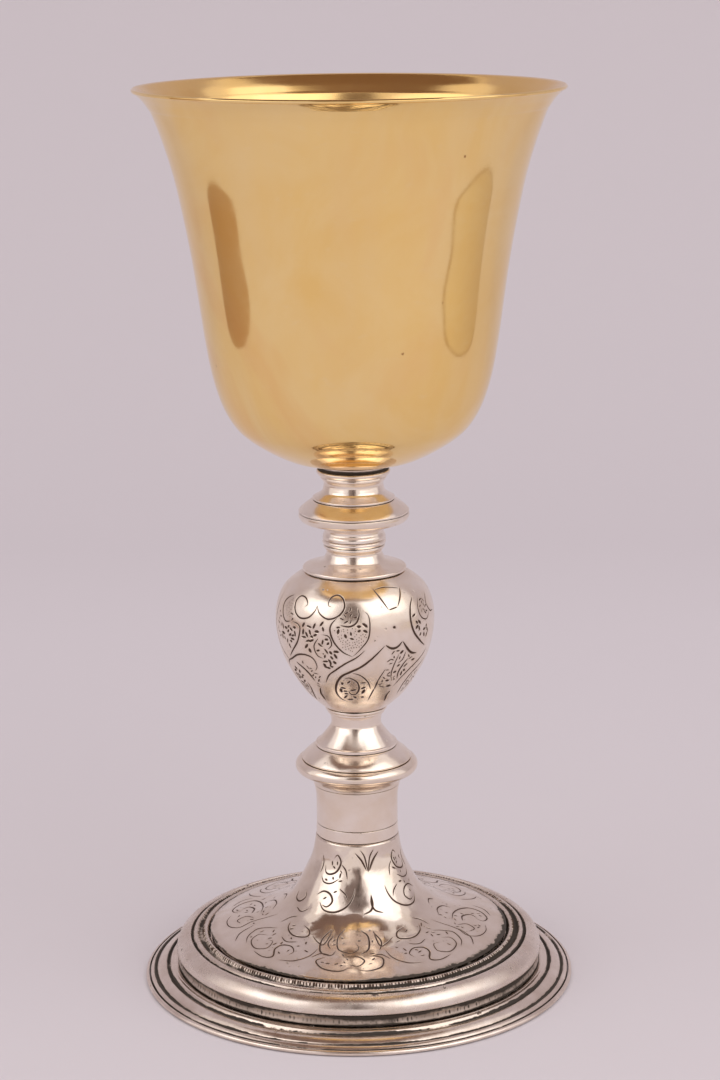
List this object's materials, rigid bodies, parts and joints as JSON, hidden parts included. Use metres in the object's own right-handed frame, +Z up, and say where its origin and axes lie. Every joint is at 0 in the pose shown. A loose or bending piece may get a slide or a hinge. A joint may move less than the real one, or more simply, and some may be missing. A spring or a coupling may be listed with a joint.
{
  "type": "communion chalice",
  "caption": "Footed silver cup for communion wine: gilt flared bowl on a knopped, engraved stem and a spreading moulded foot, held together by a tie rod and nut.",
  "frame": {"origin": "centre of the base, on the surface the chalice stands on", "axes": "+Z up along the axis of the cup; +X to the right and -Y towards the viewer in the front view"},
  "size_m": [0.1168, 0.1168, 0.24],
  "materials": {
    "gilt_silver": "polished gilding on silver",
    "polished_silver": "polished silver with dark tarnish in the grooves",
    "engraved_silver": "hand-engraved silver with oxidised strokes",
    "oxidised_silver": "blackened silver with rubbed highlights",
    "inner_silver": "matt tarnished silver, not polished",
    "rod_steel": "dull turned steel",
    "nut_brass": "dull brass"
  },
  "bodies": {
    "root": {"bowl": "gilt_silver", "bowl_seat": "inner_silver", "tie_rod": "rod_steel", "top_collar": "polished_silver", "upper_neck": "polished_silver", "upper_knop_cap": "polished_silver", "upper_knop_ring": "polished_silver", "spool_band": "polished_silver", "middle_neck": "polished_silver", "node_shell": "engraved_silver", "node_base_ring": "polished_silver", "lower_neck": "polished_silver", "lower_knop_cap": "polished_silver", "lower_knop_ring": "polished_silver", "stem_sleeve": "polished_silver", "stem_band": "polished_silver", "foot_dome": "engraved_silver", "milled_wire": "oxidised_silver", "foot_step": "polished_silver", "gallery_band": "oxidised_silver", "base_flange": "polished_silver", "base_rim_wire": "polished_silver", "throat_bush": "inner_silver"},
    "washer": {"clamp_washer": "nut_brass"},
    "nut": {"tie_nut": "nut_brass"}
  },
  "joints": [
    {"name": "nut_travel", "type": "slide", "parent": "root", "child": "washer", "axis": [0, 0, 1], "range_m": [-0.00635, 0]},
    {"name": "nut_spin", "type": "hinge", "parent": "washer", "child": "nut", "pos_m": [0, 0, 0.01665], "axis": [0, 0, 1], "range_deg": [-1801, 1]}
  ],
  "couplings": [
    {"joint": "nut_spin", "follows": "nut_travel", "rad_per_m": 4947.4}
  ]
}
